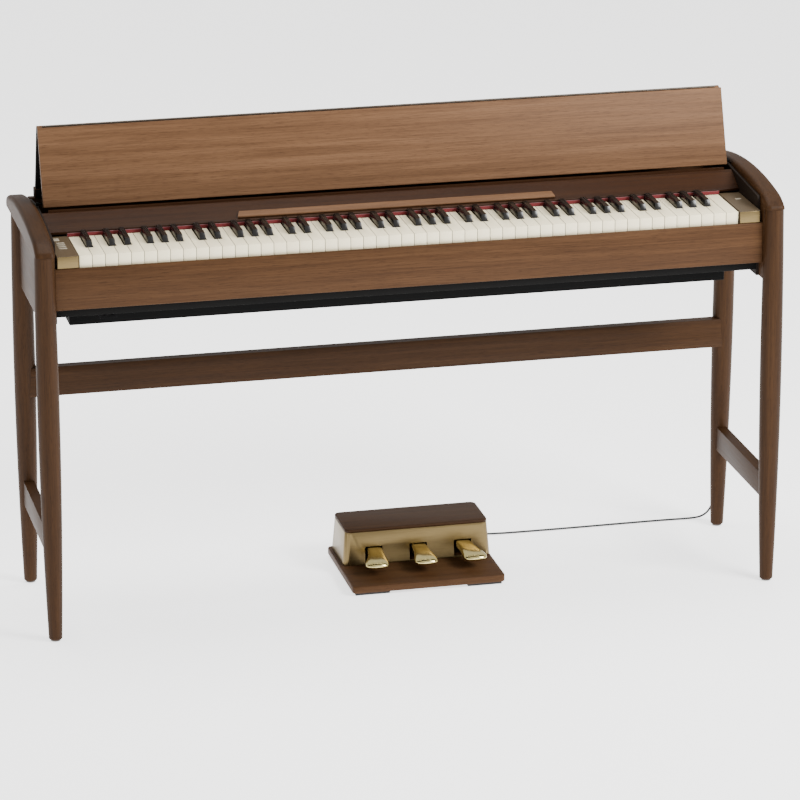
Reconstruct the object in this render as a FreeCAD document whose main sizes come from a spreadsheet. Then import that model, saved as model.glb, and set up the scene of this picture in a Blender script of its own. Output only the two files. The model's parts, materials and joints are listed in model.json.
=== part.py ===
import FreeCAD, Part
import Sketcher
import math
import os
import re
from FreeCAD import Placement, Rotation, Vector

# Digital piano on a furniture stand. Millimetres, +Z up, floor at Z = 0.
# X runs along the keyboard, bass to treble. The player sits at -Y.
# The lid is drawn folded open, standing as the music rest.

doc = FreeCAD.newDocument("digital_piano")
sheet = doc.addObject("Spreadsheet::Sheet", "dims")

DIMENSIONS = [
    # stand
    ("leg_x", 676, "leg axes, either side of the middle"),
    ("front_leg_y", 173.1, "front leg axes, in front of the middle"),
    ("rear_foot_y", 144.2, "rear leg axes at the floor"),
    ("rear_lean", 1.86, "lean of the rear legs, degrees"),
    ("leg_foot_radius", 12.4, "leg at the floor"),
    ("leg_belly_radius", 20.2, "leg at its thickest"),
    ("leg_head_radius", 17.6, "leg under the arm"),
    ("leg_belly_z", 440, "height of the thickest part"),
    ("leg_head_z", 726, "top of the legs, underside of the arms"),
    ("glide_height", 3, "felt glide under each leg"),
    ("glide_radius", 9, "felt glide"),
    ("arm_width", 36, "arm, across"),
    ("arm_front_y", 190.4, "front of the arm, in front of the middle"),
    ("arm_nose_radius", 13, "front nose of the arm"),
    ("arm_bend_radius", 95, "bend behind the nose"),
    ("arm_top_radius", 840, "long top curve of the arm"),
    ("arm_tail_radius", 15, "round back end of the arm"),
    ("arm_front_slope", 10.5, "slope where the long top curve starts, degrees"),
    ("arm_tail_slope", 12.1, "slope where it ends, degrees"),
    ("arm_edge_radius", 9, "rounding of the arm's long edges"),
    # case
    ("panel_inner_x", 656.5, "inner face of the side panels"),
    ("panel_outer_x", 681, "outer face of the side panels"),
    ("panel_bottom_z", 592, "bottom of the side panels and liners"),
    ("liner_thick", 4.8, "black liner inside each side panel"),
    ("rail_front_y", 169, "front face of the rail, in front of the middle"),
    ("rail_lip", 6.4, "rail above the rebate"),
    ("rail_thick", 20, "rail below the rebate"),
    ("rail_top_z", 698.2, "top of the rail"),
    ("rail_rebate_z", 680, "top of the thick part of the rail"),
    ("rail_bottom_z", 621.8, "bottom of the rail, top of the key bed"),
    ("bed_thick", 18, "key bed board"),
    ("back_y", 158, "outer face of the back panel"),
    ("back_thick", 15, "back panel"),
    ("rear_board_z", 766.3, "top of the fixed rear board"),
    ("rear_board_thick", 18, "fixed rear board"),
    ("deck_z", 716, "top of the black inner deck"),
    ("deck_thick", 6, "inner deck"),
    # low frame
    ("stretch_y", 112.5, "front face of the rear stretcher"),
    ("stretch_top_z", 430, "top of the rear stretcher"),
    ("stretch_tall", 56, "rear stretcher"),
    ("stretch_thick", 20, "stretchers"),
    ("low_top_z", 207, "top of the low side stretchers"),
    ("low_tall", 46, "low side stretchers"),
    # keyboard
    ("key_pitch", 23.5, "white key spacing"),
    ("key_gap", 1.0, "gap between white keys"),
    ("key_front_y", 161.5, "front of the white keys, in front of the middle"),
    ("key_end_y", 31, "where the keys pass under the fallboard"),
    ("key_top_z", 719.5, "top of the white keys"),
    ("key_tall", 22.5, "white key at the front"),
    ("key_head", 49, "wide front part of a white key"),
    ("black_end_y", 35, "back of the black keys, in front of the middle"),
    ("black_long", 76.5, "black key"),
    ("black_base", 11.6, "black key at the bottom"),
    ("black_top", 9.2, "black key at the top"),
    ("black_rise", 12, "black key above the white keys"),
    ("pivot_y", 70, "key pivot behind the middle"),
    ("pivot_z", 698, "key pivot height"),
    ("pivot_radius", 2, "key pivot rod"),
    # lid
    ("lid_x", 646, "half length of the lid"),
    ("lid_thick", 9, "lid boards"),
    ("lid_hinge_y", 135.1, "rear hinge axis"),
    ("lid_hinge_z", 768.8, "rear hinge axis"),
    ("lid_reach", 138.5, "rear hinge to fold hinge"),
    ("lid_front_long", 145, "front lid board"),
    ("lid_open", 71, "opening angle at the rear hinge, degrees"),
    ("barrel_radius", 2, "hinge barrels"),
    ("roller_radius", 3.5, "guide rollers"),
    ("roller_drop", 12, "roller axis under the front lid board"),
    # controls
    ("block_in_x", 612.6, "inner side of the key blocks"),
    ("block_out_x", 651.2, "outer side of the key blocks"),
    ("block_front_y", 165.2, "front of the key blocks, in front of the middle"),
    ("block_top_z", 721, "top of the key blocks"),
    # speaker case
    ("tray_x", 617.4, "half length of the speaker case"),
    ("tray_front_y", 60.8, "front of the speaker case"),
    ("tray_bottom_z", 560.7, "bottom of the speaker case"),
    ("tray_wall", 4, "speaker case walls"),
    # pedal unit
    ("pedal_x", 45, "middle of the pedal base"),
    ("hood_x", 48.5, "middle of the pedal housing"),
    ("pedal_mid_x", 50.5, "middle pedal"),
    ("pedal_pitch", 86.5, "pedal spacing"),
    ("base_long", 294, "pedal base board, across"),
    ("base_front_y", 84, "front of the base board, in front of the middle"),
    ("base_back_y", 151, "back of the base board"),
    ("base_thick", 14, "base board"),
    ("foot_tall", 5, "rubber strips under the base"),
    ("hood_front_y", 31, "front of the pedal housing"),
    ("hood_back_y", 149, "back of the pedal housing"),
    ("hood_long", 287, "pedal housing at the bottom"),
    ("hood_top_z", 83, "top of the metal housing"),
    ("hood_cap", 6, "wooden top of the housing"),
    ("hood_taper", 5, "taper of the housing over its height, each end"),
    ("hood_corner", 13, "corner rounding of the housing"),
    ("hood_wall", 2.5, "pedal housing wall"),
    ("pedal_axis_y", 117, "pedal shaft"),
    ("pedal_axis_z", 48, "pedal shaft"),
    # cord
    ("cord_radius", 2, "pedal cord"),
    ("cord_exit_x", 139, "where the cord leaves the housing"),
    ("cord_exit_z", 33, "where the cord leaves the housing"),
    ("relief_end_y", 166, "tip of the strain relief"),
    ("plug_x", 580, "pedal jack in the back panel"),
    ("plug_z", 664, "pedal jack in the back panel"),
    ("plug_end_y", 168, "outer end of the plug"),
]

for row, (alias, number, meaning) in enumerate(DIMENSIONS, start=1):
    sheet.set("A%d" % row, meaning)
    sheet.set("B%d" % row, str(number))
    sheet.setAlias("B%d" % row, alias)
doc.recompute()
ALIASES = [alias for alias, number, meaning in DIMENSIONS]
ALIAS_WORD = re.compile(r"\b(%s)\b" % "|".join(ALIASES))
AXIS = {"x": Vector(1, 0, 0), "y": Vector(0, 1, 0), "z": Vector(0, 0, 1)}
nodes = []


def bound(text):
    """An expression with every alias written as a cell of the sheet."""
    return ALIAS_WORD.sub(r"dims.\1", text)


def number(text):
    """The present value of an expression of the sheet's aliases."""
    return float(sheet.evalExpression(text))


def place(piece, at, turn=None):
    """Bind a piece's Placement: a point, and an optional (axis, degrees) turn."""
    if turn:
        piece.Placement = Placement(Vector(), Rotation(AXIS[turn[0]], number(turn[1])))
        piece.setExpression("Placement.Rotation.Angle", bound("1deg*(%s)" % turn[1]))
    for letter, text in zip("xyz", at):
        piece.setExpression("Placement.Base.%s" % letter, bound(text))
    return piece


def box(name, size, at, turn=None):
    piece = doc.addObject("Part::Box", name)
    for field, text in zip(("Length", "Width", "Height"), size):
        piece.setExpression(field, bound(text))
    return place(piece, at, turn)


def rod(name, radius, length, at, along="z"):
    """A cylinder that starts at a point and runs along +X, +Y or +Z."""
    piece = doc.addObject("Part::Cylinder", name)
    piece.setExpression("Radius", bound(radius))
    piece.setExpression("Height", bound(length))
    turns = {"x": ("y", "90"), "y": ("x", "-90"), "z": None}
    return place(piece, at, turns[along])


def fuse(name, pieces):
    if len(pieces) == 1:
        return pieces[0]
    joined = doc.addObject("Part::MultiFuse", name)
    joined.Shapes = pieces
    return joined


def cut(name, base, tool):
    result = doc.addObject("Part::Cut", name)
    result.Base = base
    result.Tool = tool
    return result


def group(name, pieces):
    together = doc.addObject("Part::Compound", name)
    together.Links = pieces
    return together


def node(piece, label):
    """Give a finished sub-part its own name and keep it for export."""
    piece.Label = label
    nodes.append((piece, label))
    return piece


def origin_plane(body, role):
    return [item for item in body.Origin.OriginFeatures if item.Role == role][0]


def bulged(start, end, radius, side):
    """A counterclockwise arc between two points, and which of its ends is the start.

    side +1 bulges to the left of the way from start to end, side -1 to the right."""
    chord = end - start
    inset = math.sqrt(radius ** 2 - chord.Length ** 2 / 4)
    left = Vector(-chord.y, chord.x, 0).normalize()
    centre = (start + end) / 2 - left * inset * side
    first, last = (end, start) if side > 0 else (start, end)
    angles = [math.atan2(point.y - centre.y, point.x - centre.x) for point in (first, last)]
    if angles[1] < angles[0]:
        angles[1] += 2 * math.pi
    circle = Part.Circle(centre, Vector(0, 0, 1), radius)
    return Part.ArcOfCircle(circle, angles[0], angles[1]), 2 if side > 0 else 1


def outline(body, role, corners, arcs=None):
    """A closed sketch through corners given as expressions, driven by the sheet.

    arcs maps the index of a side to its (radius expression, bulge side)."""
    arcs = arcs or {}
    sketch = body.newObject("Sketcher::SketchObject", body.Name + "_sketch")
    sketch.AttachmentSupport = [(origin_plane(body, role), "")]
    sketch.MapMode = "FlatFace"
    points = [Vector(number(u), number(v), 0) for u, v in corners]
    ends = []
    for side, start in enumerate(points):
        end = points[(side + 1) % len(points)]
        if side in arcs:
            radius, bulge = arcs[side]
            arc, first = bulged(start, end, number(radius), bulge)
            index = sketch.addGeometry(arc)
            rule = sketch.addConstraint(
                Sketcher.Constraint("Radius", index, number(radius)))
            sketch.setExpression("Constraints[%d]" % rule, bound("1mm*(%s)" % radius))
        else:
            index = sketch.addGeometry(Part.LineSegment(start, end))
            first = 1
        ends.append((index, first, 3 - first))
    for side, (index, first, last) in enumerate(ends):
        after = ends[(side + 1) % len(ends)]
        sketch.addConstraint(
            Sketcher.Constraint("Coincident", index, last, after[0], after[1]))
        for kind, text, value in zip(("DistanceX", "DistanceY"), corners[side], points[side]):
            rule = sketch.addConstraint(
                Sketcher.Constraint(kind, -1, 1, index, first, value))
            sketch.setExpression("Constraints[%d]" % rule, bound("1mm*(%s)" % text))
    return sketch


def padded(name, role, corners, depth, arcs=None):
    """A PartDesign body: an outline padded both ways from an origin plane."""
    body = doc.addObject("PartDesign::Body", name)
    sketch = outline(body, role, corners, arcs)
    pad = body.newObject("PartDesign::Pad", name + "_pad")
    pad.Profile = sketch
    pad.SideType = "Symmetric"
    pad.setExpression("Length", bound(depth))
    return body


SIDES = (("left", "-"), ("right", ""))


# ---------------------------------------------------------------- legs

def leg(name, x, y, z, lean):
    body = doc.addObject("PartDesign::Body", name)
    corners = [
        ("0", "0"),
        ("leg_foot_radius - 1.5", "0"),
        ("leg_foot_radius", "1.5"),
        ("leg_belly_radius", "leg_belly_z"),
        ("leg_head_radius", "leg_head_z - glide_height - 0.4"),
        ("0", "leg_head_z - glide_height - 0.4"),
    ]
    lower = "((leg_belly_z - 1.5)^2 + (leg_belly_radius - leg_foot_radius)^2)" \
            " / (2 * (leg_belly_radius - leg_foot_radius))"
    upper = "((leg_head_z - leg_belly_z)^2 + (leg_belly_radius - leg_head_radius)^2)" \
            " / (2 * (leg_belly_radius - leg_head_radius))"
    profile = outline(body, "XZ_Plane", corners, {2: (lower, -1), 3: (upper, -1)})
    turned = body.newObject("PartDesign::Revolution", name + "_turned")
    turned.Profile = profile
    turned.ReferenceAxis = (profile, ["V_Axis"])
    turned.Angle = 360
    return place(body, (x, y, z), ("x", lean))


def rear_leg_back(height):
    """Y of the back surface of a rear leg at a height below its thickest part."""
    rise = number("leg_belly_z") - 1.5
    swell = number("leg_belly_radius") - number("leg_foot_radius")
    radius = number("leg_belly_radius") - (number("leg_belly_z") - height) ** 2 * swell / rise ** 2
    return number("rear_foot_y") - height * math.sin(math.radians(number("rear_lean"))) + radius


legs = {}
for side, sign in SIDES:
    legs["front", side] = leg(side + "_front", sign + "leg_x", "-front_leg_y",
                              "glide_height", "0")
    legs["rear", side] = leg(side + "_rear", sign + "leg_x", "rear_foot_y",
                             "glide_height + 0.4", "rear_lean")
    node(legs["front", side], side + "_front_leg")
    node(legs["rear", side], side + "_rear_leg")

glides = []
for side, sign in SIDES:
    for end, y in (("front", "-front_leg_y"), ("rear", "rear_foot_y")):
        glides.append(rod("glide_%s_%s" % (end, side), "glide_radius", "glide_height",
                          (sign + "leg_x", y, "0")))
node(group("glides", glides), "foot_glides")


# ---------------------------------------------------------------- arms

def along_arc(start, radius, angle_in, angle_out):
    """End of an arc that leaves start heading angle_in and turns right to angle_out."""
    sines = "sin(1deg*(%s)) - sin(1deg*(%s))" % (angle_in, angle_out)
    cosines = "cos(1deg*(%s)) - cos(1deg*(%s))" % (angle_out, angle_in)
    return "%s + %s*(%s)" % (start[0], radius, sines), "%s + %s*(%s)" % (start[1], radius, cosines)


def arm(name, x):
    """Side view: nose over the front leg, bend, long shallow top, round tail."""
    toe = ("-arm_front_y", "leg_head_z")
    nose = along_arc(toe, "arm_nose_radius", "85", "35")
    bend = along_arc(nose, "arm_bend_radius", "35", "arm_front_slope")
    top = along_arc(bend, "arm_top_radius", "arm_front_slope", "-arm_tail_slope")
    tail = along_arc(top, "arm_tail_radius", "-arm_tail_slope", "-90")
    heel = (tail[0], "leg_head_z")
    body = padded(name, "YZ_Plane", [toe, nose, bend, top, tail, heel], "arm_width",
                  {0: ("arm_nose_radius", 1), 1: ("arm_bend_radius", 1),
                   2: ("arm_top_radius", 1), 3: ("arm_tail_radius", 1)})
    pad = body.Tip
    doc.recompute()
    long_edges = []
    for index, edge in enumerate(pad.Shape.Edges, start=1):
        flat = abs(edge.BoundBox.XLength) < 0.01
        if flat and edge.BoundBox.ZMax > number("leg_head_z") + 1:
            long_edges.append("Edge%d" % index)
    rounded = body.newObject("PartDesign::Fillet", name + "_rounded")
    rounded.Base = (pad, long_edges)
    rounded.setExpression("Radius", bound("arm_edge_radius"))
    body.Tip = rounded
    return place(body, (x, "0", "0"))


for side, sign in SIDES:
    node(arm(side + "_arm_body", sign + "(leg_x - 1)"), side + "_arm")


# ---------------------------------------------------------------- sides and case

def between_legs(name, slab, side):
    """A board that ends against the front and rear leg of its side."""
    pair = fuse(name + "_legs", [legs["front", side], legs["rear", side]])
    return cut(name, slab, pair)


def mirrored_x(sign, near, far):
    """Lowest X of a slab that spans near to far from the middle on one side."""
    return near if sign == "" else "-(%s)" % far


side_panels = []
side_liners = []
low_stretchers = []
for side, sign in SIDES:
    panel = box("panel_slab_" + side,
                ("panel_outer_x - panel_inner_x", "front_leg_y + 122",
                 "leg_head_z - panel_bottom_z"),
                (mirrored_x(sign, "panel_inner_x", "panel_outer_x"), "-front_leg_y",
                 "panel_bottom_z"))
    side_panels.append(between_legs("side_panel_" + side, panel, side))
    low = box("low_slab_" + side,
              ("stretch_thick", "front_leg_y + rear_foot_y", "low_tall"),
              (mirrored_x(sign, "leg_x - stretch_thick/2", "leg_x + stretch_thick/2"),
               "-front_leg_y", "low_top_z - low_tall"))
    low_stretchers.append(between_legs("low_stretcher_" + side, low, side))
    inner = "panel_inner_x - liner_thick"
    roller_front = "lid_hinge_y - 2*lid_reach"
    roller_back = "lid_hinge_y - 2*lid_reach*0.3256"
    liner = padded("liner_" + side, "YZ_Plane", [
        ("-148", "panel_bottom_z"),
        ("back_y - back_thick", "panel_bottom_z"),
        ("back_y - back_thick", "lid_hinge_z - 22"),
        (roller_back + " + 12", "lid_hinge_z - 11.2"),
        (roller_front + " - 3", "lid_hinge_z - 25.5"),
        ("-148", "lid_hinge_z - 30")], "liner_thick")
    place(liner, (sign + "(panel_inner_x - liner_thick/2)", "0", "0"))
    side_liners.append(liner)
node(group("side_panel_pair", side_panels), "side_panels")
node(group("side_liner_pair", side_liners), "side_liners")
node(group("low_stretcher_pair", low_stretchers), "low_side_stretchers")

rear_slab = box("rear_stretcher_slab", ("2*leg_x", "stretch_thick", "stretch_tall"),
                ("-leg_x", "stretch_y", "stretch_top_z - stretch_tall"))
hollows = [place(rod("stretcher_hollow_" + side, "leg_belly_radius + 0.1", "leg_head_z", ("0", "0", "0")),
                 (sign + "leg_x", "rear_foot_y", "glide_height + 0.4"), ("x", "rear_lean"))
           for side, sign in SIDES]
node(cut("rear_stretcher_board", rear_slab, fuse("stretcher_hollows", hollows)),
     "rear_stretcher")

rail_lip = box("rail_lip_board", ("2*panel_inner_x", "rail_lip", "rail_top_z - rail_bottom_z"),
               ("-panel_inner_x", "-rail_front_y", "rail_bottom_z"))
rail_core = box("rail_core_board",
                ("2*panel_inner_x", "rail_thick", "rail_rebate_z - rail_bottom_z"),
                ("-panel_inner_x", "-rail_front_y", "rail_bottom_z"))
rail_blank = fuse("rail_blank", [rail_lip, rail_core])
front_pair = fuse("rail_legs", [legs["front", "left"], legs["front", "right"]])
node(cut("rail_board", rail_blank, front_pair), "front_rail")

INSIDE = "2*(panel_inner_x - liner_thick)"
INSIDE_LEFT = "-(panel_inner_x - liner_thick)"
node(box("bed_board", (INSIDE, "back_y - back_thick + rail_front_y - rail_thick", "bed_thick"),
         (INSIDE_LEFT, "-rail_front_y + rail_thick", "rail_bottom_z - bed_thick")), "key_bed")
back_blank = box("back_blank",
                 ("2*panel_inner_x", "back_thick",
                  "rear_board_z - rear_board_thick - panel_bottom_z"),
                 ("-panel_inner_x", "back_y - back_thick", "panel_bottom_z"))
socket_hole = box("socket_hole", ("150", "back_thick + 10", "26"),
                  ("-520", "back_y - back_thick - 5", "640"))
pedal_jack_hole = rod("pedal_jack_hole", "5.2", "back_thick + 10",
                      ("plug_x", "back_y - back_thick - 5", "plug_z"), "y")
back_holes = fuse("back_holes", [socket_hole, pedal_jack_hole])
node(cut("back_board", back_blank, back_holes), "back_panel")
node(box("rear_board", ("2*lid_x", "back_y - lid_hinge_y - barrel_radius - 0.4",
                        "rear_board_thick"),
         ("-lid_x", "lid_hinge_y + barrel_radius + 0.4",
          "rear_board_z - rear_board_thick")), "rear_top_board")
node(box("deck_board", (INSIDE, "back_y - back_thick - 16", "deck_thick"),
         (INSIDE_LEFT, "16", "deck_z - deck_thick")), "inner_deck")

# Socket plate behind the hole in the back, with its jack sockets.
plate = box("socket_plate_sheet", ("166", "2", "36"), ("-528", "back_y - back_thick - 2", "635"))
JACK_PLACES = ["%d" % (-500 + 28 * index) for index in range(4)]
jacks = [rod("jack_%d" % index, "3.5", "14", (x, "back_y - back_thick - 14", "653"), "y")
         for index, x in enumerate(JACK_PLACES)]
drilled = [rod("jack_bore_%d" % index, "1.8", "16", (x, "back_y - back_thick - 12", "653"), "y")
           for index, x in enumerate(JACK_PLACES)]
sockets = fuse("socket_bodies", [plate] + jacks)
socket_panel = cut("socket_plate_drilled", sockets, fuse("jack_bores", drilled))

# ---------------------------------------------------------------- fallboard

fall = padded("fall_body", "YZ_Plane", [
    ("-key_end_y - 2", "key_top_z + 4.3"),
    ("-key_end_y - 2", "key_top_z + 9.5"),
    ("-key_end_y + 4", "key_top_z + 11.5"),
    ("12.5", "key_top_z + 33"),
    ("17.5", "key_top_z + 33"),
    ("17.5", "key_top_z + 20"),
    ("-key_end_y + 14", "key_top_z + 4.3")], INSIDE)
node(fall, "fallboard")
node(box("rest_strip", ("2*lid_x - 16", "5", "4.2"), ("-lid_x + 8", "19.5", "751.3")),
     "lid_rest_strip")
felt_parts = [box("felt_%d" % index, ("2*block_in_x", long_y, tall), ("-block_in_x", y, z))
              for index, (long_y, tall, y, z) in enumerate([
                  ("4", "11.3", "-key_end_y + 1", "key_top_z - 7"),
                  ("8.8", "3.9", "-key_end_y - 3.8", "key_top_z + 0.4"),
                  ("1.7", "6.4", "-key_end_y - 3.8", "key_top_z + 0.4")])]
node(fuse("felt", felt_parts), "felt_strip")

# ---------------------------------------------------------------- lid

COS = "cos(1deg*lid_open)"
SIN = "sin(1deg*lid_open)"
FOLD_Y = "lid_hinge_y - lid_reach*%s - lid_thick*%s" % (COS, SIN)
FOLD_Z = "lid_hinge_z + lid_reach*%s - lid_thick*%s" % (SIN, COS)
FOLD_GAP = "(barrel_radius + 0.3)"

# Rear board hangs from the rear hinge axis, which lies in its upper surface.
rear_lid = padded("rear_lid", "YZ_Plane", [
    ("-barrel_radius - 0.6", "0"),
    ("-lid_reach + " + FOLD_GAP, "0"),
    ("-lid_reach + " + FOLD_GAP, "-lid_thick"),
    ("-barrel_radius - 0.6", "-lid_thick")], "2*lid_x")
node(place(rear_lid, ("0", "lid_hinge_y", "lid_hinge_z"), ("x", "-lid_open")), "lid_rear_panel")

# Front board hangs from the fold axis, which lies in its lower surface.
front_lid = padded("front_lid", "YZ_Plane", [
    ("-" + FOLD_GAP, "0"),
    ("-" + FOLD_GAP, "lid_thick"),
    ("-" + FOLD_GAP + " - lid_front_long", "lid_thick"),
    ("-" + FOLD_GAP + " - lid_front_long", "0")], "2*lid_x")
node(place(front_lid, ("0", FOLD_Y, FOLD_Z), ("x", "lid_open")), "lid_front_panel")

rear_barrel = rod("rear_barrel", "barrel_radius", "2*lid_x - 20",
                  ("-lid_x + 10", "lid_hinge_y", "lid_hinge_z"), "x")
rear_leaf = box("rear_leaf", ("2*lid_x - 20", "18", "1.2"),
                ("-lid_x + 10", "lid_hinge_y", "rear_board_z"))
node(fuse("rear_hinge_strip", [rear_barrel, rear_leaf]), "rear_hinge")

fold_barrel = rod("fold_barrel", "barrel_radius", "2*lid_x - 20",
                  ("-lid_x + 10", "-lid_reach", "-lid_thick"), "x")
fold_leaf = box("fold_leaf", ("2*lid_x - 20", "18", "1.2"),
                ("-lid_x + 10", "-lid_reach", "-lid_thick - 1.2"))
fold_strip = fuse("fold_hinge_strip", [fold_barrel, fold_leaf])
node(place(fold_strip, ("0", "lid_hinge_y", "lid_hinge_z"), ("x", "-lid_open")), "fold_hinge")

rollers = []
for side, sign in SIDES:
    ear = box("roller_ear_" + side, ("4", "14", "roller_drop + 4"),
              (mirrored_x(sign, "lid_x - 5", "lid_x - 1"), "-lid_reach - 7", "-roller_drop - 4"))
    pin = rod("roller_pin_" + side, "1.5", "9",
              (mirrored_x(sign, "lid_x - 3", "lid_x + 6"), "-lid_reach", "-roller_drop"), "x")
    wheel = rod("roller_wheel_" + side, "roller_radius", "5",
                (mirrored_x(sign, "lid_x + 5.3", "lid_x + 10.3"), "-lid_reach", "-roller_drop"), "x")
    rollers.append(fuse("roller_" + side, [ear, pin, wheel]))
roller_pair = group("roller_pair", rollers)
node(place(roller_pair, ("0", FOLD_Y, FOLD_Z), ("x", "lid_open")), "lid_guide_rollers")

# Folding ledge that holds sheet music, hinged along its lower edge on the fallboard.
ledge = padded("ledge_body", "XY_Plane", [
    ("-298", "0"), ("-294", "13"), ("294", "13"), ("298", "0")], "4")
place(ledge, ("0", "-26.1", "734.1"), ("x", "28.3"))
ledge_barrel = rod("ledge_barrel", "2", "596", ("-298", "-26.1", "734.1"), "x")
node(fuse("ledge_parts", [ledge, ledge_barrel]), "music_ledge")

# ---------------------------------------------------------------- key blocks and buttons

BLOCK_BOTTOM = "rail_top_z"
BLOCK_LONG = "block_front_y - key_end_y - 1.2"
BUTTONS = [
    # label, centre x, centre y, length x, length y
    ("volume_button", "-(block_in_x + 26)", "-54", "15", "15"),
    ("function_buttons", "-(block_in_x + 20)", "-78", "15", "4.5"),
    ("power_button", "block_in_x + 23", "-80", "11", "7"),
]
FUNCTION_COUNT = 4
FUNCTION_STEP = 12


def button_tools(label, x, y, long_x, long_y, margin, bottom, tall):
    """Boxes for one button, or for the row of function buttons."""
    count = FUNCTION_COUNT if label == "function_buttons" else 1
    return [box("%s_%s_%d" % (label, "cap" if margin == "0" else "hole", index),
                ("%s + 2*%s" % (long_x, margin), "%s + 2*%s" % (long_y, margin), tall),
                ("%s - %s/2 - %s" % (x, long_x, margin),
                 "%s - %d - %s/2 - %s" % (y, index * FUNCTION_STEP, long_y, margin), bottom))
            for index in range(count)]


for side, sign in SIDES:
    blank = box("block_blank_" + side,
                ("block_out_x - block_in_x", BLOCK_LONG, "block_top_z - %s" % BLOCK_BOTTOM),
                (mirrored_x(sign, "block_in_x", "block_out_x"), "-block_front_y", BLOCK_BOTTOM))
    holes = []
    for button in BUTTONS:
        if button[1].startswith("-") == (side == "left"):
            holes += button_tools(*button, "0.4", "block_top_z - 8", "12")
    node(cut("block_" + side, blank, fuse("block_holes_" + side, holes)), side + "_key_block")
for button in BUTTONS:
    caps = button_tools(*button, "0", "block_top_z - 5.4", "6.6")
    node(group(button[0] + "_caps", caps), button[0])

# ---------------------------------------------------------------- keys

PITCH = number("key_pitch")
GAP = number("key_gap")
FIRST_X = -26 * PITCH
FRONT_Y = -number("key_front_y")
END_Y = -number("key_end_y")
TOP_Z = number("key_top_z")
PIVOT_Y = number("pivot_y")
PIVOT_Z = number("pivot_z")
STEM_WIDTH = 9
STEM_TOP = 705
STEM_BOTTOM = 691
# Tail slots of an octave: five equal slots behind C D E and seven behind F G A B.
LOW_SLOT = 3 * PITCH / 5
HIGH_SLOT = 4 * PITCH / 7
NOTES = ["c", "c_sharp", "d", "d_sharp", "e", "f", "f_sharp", "g", "g_sharp", "a", "a_sharp", "b"]
WHITES = ["c", "d", "e", "f", "g", "a", "b"]


def slot_edges(note):
    """Left and right edge of a note's tail slot, from the left of its octave."""
    index = NOTES.index(note)
    if index < 5:
        return index * LOW_SLOT, (index + 1) * LOW_SLOT
    return 3 * PITCH + (index - 5) * HIGH_SLOT, 3 * PITCH + (index - 4) * HIGH_SLOT


def slab(x0, x1, y0, y1, z0, z1):
    return Part.makeBox(x1 - x0, y1 - y0, z1 - z0, Vector(x0, y0, z0))


def stem(x):
    """The hidden rear of a key, with a hook that takes the pivot rod."""
    bar = slab(x - STEM_WIDTH / 2, x + STEM_WIDTH / 2, END_Y - 6, PIVOT_Y + 8,
               STEM_BOTTOM, STEM_TOP)
    bore = Part.makeCylinder(number("pivot_radius") + 0.3, STEM_WIDTH + 2,
                             Vector(x - STEM_WIDTH / 2 - 1, PIVOT_Y, PIVOT_Z), Vector(1, 0, 0))
    return bar.cut(bore)


def white_key(octave_x, note, first, final):
    head_x = octave_x + WHITES.index(note) * PITCH + GAP / 2
    left, right = slot_edges(note)
    tail_left = octave_x + left + GAP / 2
    tail_right = octave_x + right - GAP / 2
    if first:
        tail_left = head_x
    if final:
        tail_right = head_x + PITCH - GAP
    bottom = TOP_Z - number("key_tall")
    head_back = FRONT_Y + number("key_head")
    head = slab(head_x, head_x + PITCH - GAP, FRONT_Y, head_back, bottom, TOP_Z)
    tail = slab(tail_left, tail_right, head_back - 1, END_Y, bottom, TOP_Z)
    return head.fuse([tail, stem((tail_left + tail_right) / 2)]).removeSplitter()


def ring(x, half_width, front, back, z):
    """A level rectangular wire."""
    corners = [Vector(x - half_width, front, z), Vector(x + half_width, front, z),
               Vector(x + half_width, back, z), Vector(x - half_width, back, z)]
    return Part.makePolygon(corners + corners[:1])


def black_key(octave_x, note):
    left, right = slot_edges(note)
    x = octave_x + (left + right) / 2
    half_base = number("black_base") / 2
    half_top = number("black_top") / 2
    back = -number("black_end_y")
    front = back - number("black_long")
    shoulder = TOP_Z + 1
    bottom = TOP_Z - 9
    lower = slab(x - half_base, x + half_base, front, back, bottom, shoulder)
    foot = ring(x, half_base, front, back, shoulder)
    crown = ring(x, half_top, front + 5, back, TOP_Z + number("black_rise"))
    cap = Part.makeLoft([foot, crown], True, True)
    web = slab(x - STEM_WIDTH / 2, x + STEM_WIDTH / 2, back - 26, back + 6, STEM_BOTTOM, bottom + 1)
    return lower.fuse([cap, web, stem(x)]).removeSplitter()


def key_group(note):
    """Every key of one note name, from A at the bass end to C at the treble end."""
    keys = []
    for octave in range(9):
        octave_x = FIRST_X - 5 * PITCH + octave * 7 * PITCH
        index = NOTES.index(note)
        if octave == 0 and index < NOTES.index("a"):
            continue
        if octave == 8 and index > 0:
            continue
        if note in WHITES:
            keys.append(white_key(octave_x, note, octave == 0 and note == "a", octave == 8))
        else:
            keys.append(black_key(octave_x, note))
    piece = doc.addObject("Part::Feature", "keys_of_" + note)
    piece.Shape = Part.makeCompound(keys)
    return piece


for note in NOTES:
    node(key_group(note), "keys_" + note)

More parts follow.
